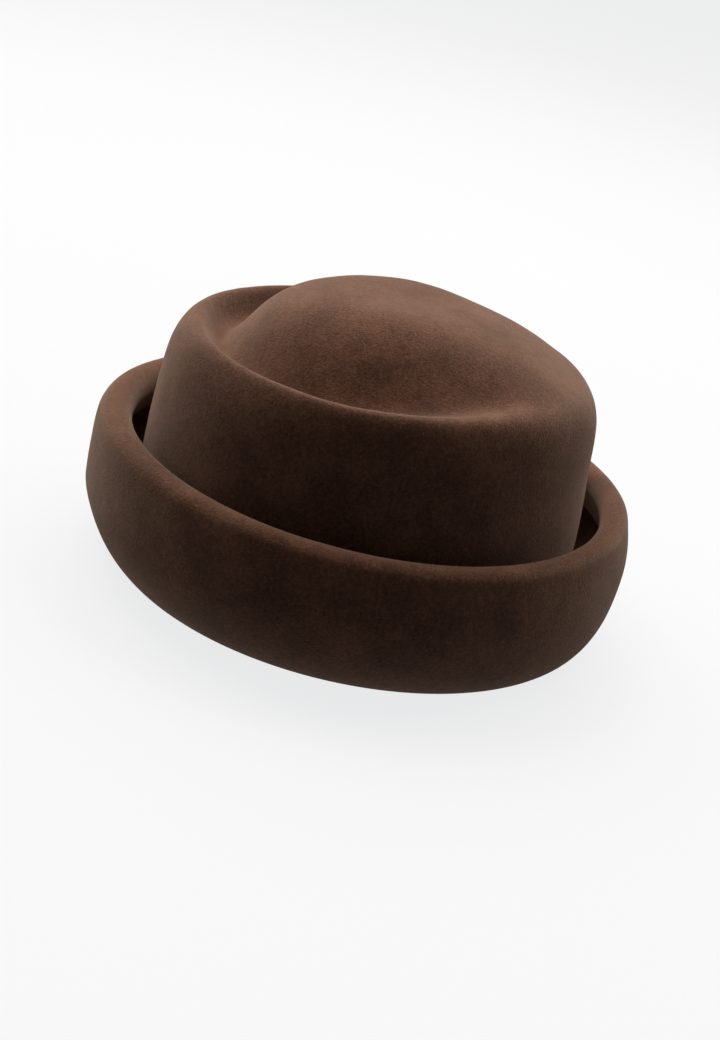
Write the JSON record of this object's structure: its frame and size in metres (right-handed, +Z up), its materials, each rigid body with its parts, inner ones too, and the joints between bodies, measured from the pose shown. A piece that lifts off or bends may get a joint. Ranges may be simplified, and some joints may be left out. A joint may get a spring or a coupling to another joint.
{
  "type": "bowler hat",
  "caption": "Felt bowler hat with a grooved telescoped crown, a turned-up brim with a rolled wired rim, a ribbon sweatband and a satin lining.",
  "frame": {"origin": "centre of the head opening, in the plane of the flat ring under the brim that the hat rests on", "axes": "+Z up through the crown, -Y to the front of the hat, +Y to the back and +X to the wearer's left"},
  "size_m": [0.2318, 0.2534, 0.1407],
  "materials": {
    "crown_felt": "short-napped brown wool felt",
    "brim_felt": "short-napped brown wool felt",
    "millinery_wire": "drawn steel wire",
    "joiner_brass": "crimped brass sleeve",
    "stay_tape": "woven cotton tape",
    "petersham": "ribbed petersham ribbon",
    "bow_ribbon": "narrow ribbed ribbon",
    "lining_satin": "brown satin",
    "maker_label_cloth": "blank woven label",
    "size_label_cloth": "blank woven tab"
  },
  "bodies": {
    "root": {"crown": "crown_felt", "brim": "brim_felt", "brim_edge_wire": "millinery_wire", "wire_joiner": "joiner_brass", "headline_tape": "stay_tape", "sweatband": "petersham", "sweatband_bow": "bow_ribbon", "bow_knot": "bow_ribbon", "lining_side": "lining_satin", "lining_tip": "lining_satin", "maker_label": "maker_label_cloth", "size_label": "size_label_cloth"}
  },
  "joints": []
}
